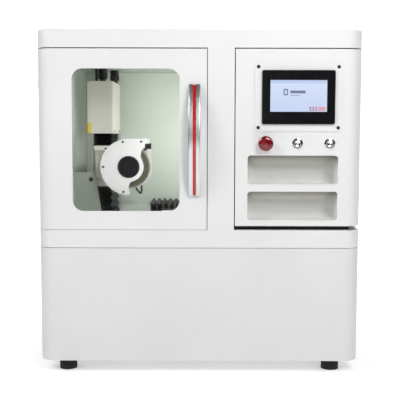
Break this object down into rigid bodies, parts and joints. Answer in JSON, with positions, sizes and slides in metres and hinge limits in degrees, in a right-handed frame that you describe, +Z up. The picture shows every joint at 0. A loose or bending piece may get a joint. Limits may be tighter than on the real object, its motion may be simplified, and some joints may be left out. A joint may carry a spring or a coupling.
{
  "type": "tool sharpening machine",
  "caption": "Enclosed tool sharpening machine: floor cabinet with a windowed grinding chamber, a wheel head on a slide, a touch panel door and storage trays.",
  "frame": {"origin": "centre of the bounding box at floor level, under the feet", "axes": "+Z up, +X to the right and +Y from the front to the back, seen from the front"},
  "size_m": [0.915, 0.772, 0.961],
  "materials": {
    "white_coat": "satin",
    "green_coat": "satin",
    "beige_coat": "satin",
    "grey_coat": "satin",
    "black_coat": "satin",
    "stainless": "brushed",
    "zinc_steel": "satin",
    "ground_steel": "ground",
    "cast_bed": "painted",
    "black_screw": "blackened",
    "head_alloy": "satin",
    "spindle_alloy": "anodised",
    "handle_alloy": "polished",
    "red_strip": "gloss",
    "black_rubber": "matte",
    "bellows_cloth": "matte",
    "black_plastic": "fine grain",
    "panel_frame": "gloss",
    "screen_glass": "gloss",
    "pane_glass": "clear",
    "drive_case": "matte",
    "motor_black": "matte",
    "wheel_bond": "abrasive",
    "badge_black": "matte",
    "button_chrome": "polished",
    "stop_red": "gloss",
    "galvanised": "galvanised"
  },
  "bodies": {
    "cabinet": {"base_shell": "white_coat", "foot_pads": "black_rubber", "foot_studs": "zinc_steel", "machine_bed": "cast_bed", "upper_shell": "white_coat", "rear_panel": "white_coat", "door_seals": "black_rubber", "chamber_liner": "green_coat", "chamber_ceiling": "green_coat", "chamber_floor": "stainless", "side_cover_plate": "green_coat", "cover_plug": "black_plastic", "z_column": "cast_bed", "linear_rails": "ground_steel", "axis_motors": "motor_black", "z_motor_cover": "beige_coat", "cable_glands": "black_plastic", "conduits": "black_rubber", "mounting_plate": "galvanised", "servo_drives": "drive_case", "power_supply": "zinc_steel", "cord_gland": "black_plastic", "hinge_pins": "zinc_steel", "panel_screws": "black_screw"},
    "grinding_head": {"z_saddle": "head_alloy", "slide_carriages": "ground_steel", "spindle_housing": "spindle_alloy", "wheel_guard": "grey_coat", "guard_cover": "white_coat", "guard_badge": "badge_black", "guard_screws": "black_screw", "spindle_cable": "black_rubber", "upper_bellows": "bellows_cloth", "lower_bellows": "bellows_cloth"},
    "spindle": {"spindle_shaft": "ground_steel", "grinding_wheel": "wheel_bond", "wheel_flange": "zinc_steel"},
    "nozzle": {"coolant_nozzle": "black_plastic"},
    "valve_knob": {"nozzle_knob": "black_plastic"},
    "z_screw": {"z_ballscrew": "ground_steel"},
    "x_screw": {"x_ballscrew": "ground_steel"},
    "cross_slide": {"x_table": "green_coat", "work_head": "head_alloy", "x_bellows": "bellows_cloth"},
    "work_spindle": {"collet_chuck": "ground_steel"},
    "left_door": {"left_door_panel": "white_coat", "window_pane": "pane_glass", "window_seal": "black_rubber", "door_handle": "handle_alloy", "handle_insert": "red_strip"},
    "right_door": {"right_door_panel": "white_coat", "storage_trays": "white_coat", "control_plate": "white_coat", "touch_panel": "panel_frame", "touch_screen": "screen_glass", "plate_screws": "black_screw", "button_bezels": "button_chrome"},
    "emergency_stop": {"stop_button": "stop_red"},
    "power": {"power_button": "button_chrome"},
    "start": {"start_button": "button_chrome"}
  },
  "joints": [
    {"name": "left_door_hinge", "type": "hinge", "parent": "cabinet", "child": "left_door", "pos_m": [-0.4539, -0.254, 0.66], "axis": [0, 0, -1], "range_deg": [0, 105]},
    {"name": "right_door_hinge", "type": "hinge", "parent": "cabinet", "child": "right_door", "pos_m": [0.4539, -0.254, 0.66], "axis": [0, 0, 1], "range_deg": [0, 105]},
    {"name": "z_slide", "type": "slide", "parent": "cabinet", "child": "grinding_head", "axis": [0, 0, 1], "range_m": [-0.078, 0.008], "deforming": ["upper_bellows", "lower_bellows"]},
    {"name": "z_screw_turn", "type": "hinge", "parent": "cabinet", "child": "z_screw", "pos_m": [-0.294, -0.086, 0.5], "axis": [0, 0, 1], "continuous": true},
    {"name": "spindle_turn", "type": "hinge", "parent": "grinding_head", "child": "spindle", "pos_m": [-0.208, -0.184, 0.579], "axis": [0, -1, 0], "continuous": true},
    {"name": "nozzle_tilt", "type": "hinge", "parent": "grinding_head", "child": "nozzle", "pos_m": [-0.16, -0.187, 0.641], "axis": [1, 0, 0], "range_deg": [-12, 12]},
    {"name": "valve_turn", "type": "hinge", "parent": "nozzle", "child": "valve_knob", "pos_m": [-0.15, -0.187, 0.6395], "axis": [1, 0, 0], "range_deg": [0, 270]},
    {"name": "x_slide", "type": "slide", "parent": "cabinet", "child": "cross_slide", "axis": [1, 0, 0], "range_m": [-0.01, 0.06], "deforming": ["x_bellows"]},
    {"name": "x_screw_turn", "type": "hinge", "parent": "cabinet", "child": "x_screw", "pos_m": [-0.1, -0.0465, 0.4], "axis": [1, 0, 0], "continuous": true},
    {"name": "work_spindle_turn", "type": "hinge", "parent": "cross_slide", "child": "work_spindle", "pos_m": [-0.1, -0.184, 0.43], "axis": [1, 0, 0], "continuous": true},
    {"name": "stop_press", "type": "slide", "parent": "right_door", "child": "emergency_stop", "axis": [0, 1, 0], "range_m": [0, 0.004], "stiffness_N_per_m": 1500},
    {"name": "power_press", "type": "slide", "parent": "right_door", "child": "power", "axis": [0, 1, 0], "range_m": [0, 0.002], "stiffness_N_per_m": 1200},
    {"name": "start_press", "type": "slide", "parent": "right_door", "child": "start", "axis": [0, 1, 0], "range_m": [0, 0.002], "stiffness_N_per_m": 1200}
  ],
  "couplings": [
    {"joint": "z_screw_turn", "follows": "z_slide", "rad_per_m": 1256.6},
    {"joint": "x_screw_turn", "follows": "x_slide", "rad_per_m": 1256.6}
  ]
}
